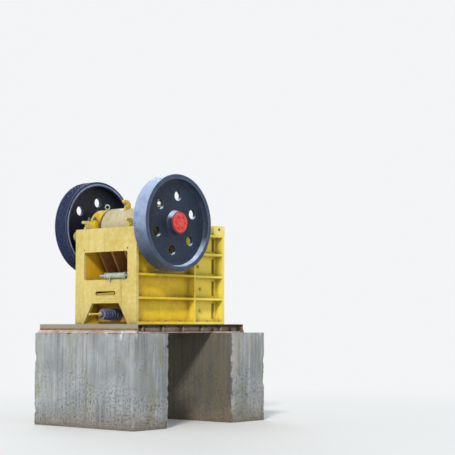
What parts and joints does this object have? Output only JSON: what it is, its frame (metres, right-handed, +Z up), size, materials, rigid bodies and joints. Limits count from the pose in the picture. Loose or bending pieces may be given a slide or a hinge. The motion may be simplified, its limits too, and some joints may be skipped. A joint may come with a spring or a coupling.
{
  "type": "jaw crusher",
  "caption": "Single-toggle jaw crusher with welded ribbed frame, flywheel and belt pulley on an eccentric shaft, standing on concrete piers.",
  "frame": {"origin": "on the ground, under the middle of the two piers", "axes": "+X towards the feed side, +Y towards the belt pulley, +Z up"},
  "size_m": [3.15, 2.24, 3.97],
  "materials": {
    "concrete": "cast concrete with streaks",
    "base_steel": "grey primer with rust",
    "cream_paint": "pale yellow gloss paint",
    "yellow_paint": "golden yellow gloss paint",
    "wheel_paint": "blue-black paint on cast iron",
    "red_paint": "red gloss paint",
    "rusty_steel": "brown, rusty",
    "manganese_steel": "worn cast steel",
    "bright_steel": "galvanised",
    "dark_steel": "blue-grey paint"
  },
  "bodies": {
    "frame": {"rear_pier": "concrete", "front_pier": "concrete", "base_beam_near": "base_steel", "base_beam_far": "base_steel", "rear_cross_beam": "base_steel", "front_cross_beam": "base_steel", "side_plate_near": "yellow_paint", "side_plate_far": "yellow_paint", "rear_wall": "cream_paint", "front_wall": "yellow_paint", "front_top_beam": "yellow_paint", "toggle_beam": "rusty_steel", "bearing_seat_near": "yellow_paint", "bearing_seat_far": "yellow_paint", "bearing_cap_near": "yellow_paint", "bearing_cap_far": "yellow_paint", "bearing_cover_near": "yellow_paint", "bearing_cover_far": "yellow_paint", "cheek_plate_near": "rusty_steel", "cheek_plate_far": "rusty_steel", "fixed_jaw_plate": "manganese_steel", "adjusting_wedges": "manganese_steel", "toggle_block": "rusty_steel", "toggle_plate": "rusty_steel", "adjusting_screw": "bright_steel", "screw_brackets": "cream_paint", "spring_bracket": "yellow_paint", "tension_rod": "dark_steel", "tension_spring": "dark_steel", "lifting_trunnions": "bright_steel", "lifting_hooks": "cream_paint", "lifting_eyes": "bright_steel"},
    "shaft": {"eccentric_shaft": "bright_steel", "flywheel": "wheel_paint", "belt_pulley": "wheel_paint", "flywheel_cap": "red_paint", "pulley_cap": "red_paint"},
    "jaw": {"swing_jaw": "yellow_paint", "swing_jaw_plate": "manganese_steel", "jaw_plate_clamp": "yellow_paint", "jaw_toggle_seat": "manganese_steel", "jaw_hook": "yellow_paint", "rod_pin": "bright_steel"}
  },
  "joints": [
    {"name": "shaft_spin", "type": "hinge", "parent": "frame", "child": "shaft", "pos_m": [-0.475, 0, 3.2], "axis": [0, 1, 0], "continuous": true},
    {"name": "jaw_swing", "type": "hinge", "parent": "shaft", "child": "jaw", "pos_m": [-0.475, 0, 3.181], "axis": [0, 1, 0], "continuous": true}
  ],
  "couplings": [
    {"joint": "jaw_swing", "follows": "shaft_spin", "ratio": -1}
  ]
}
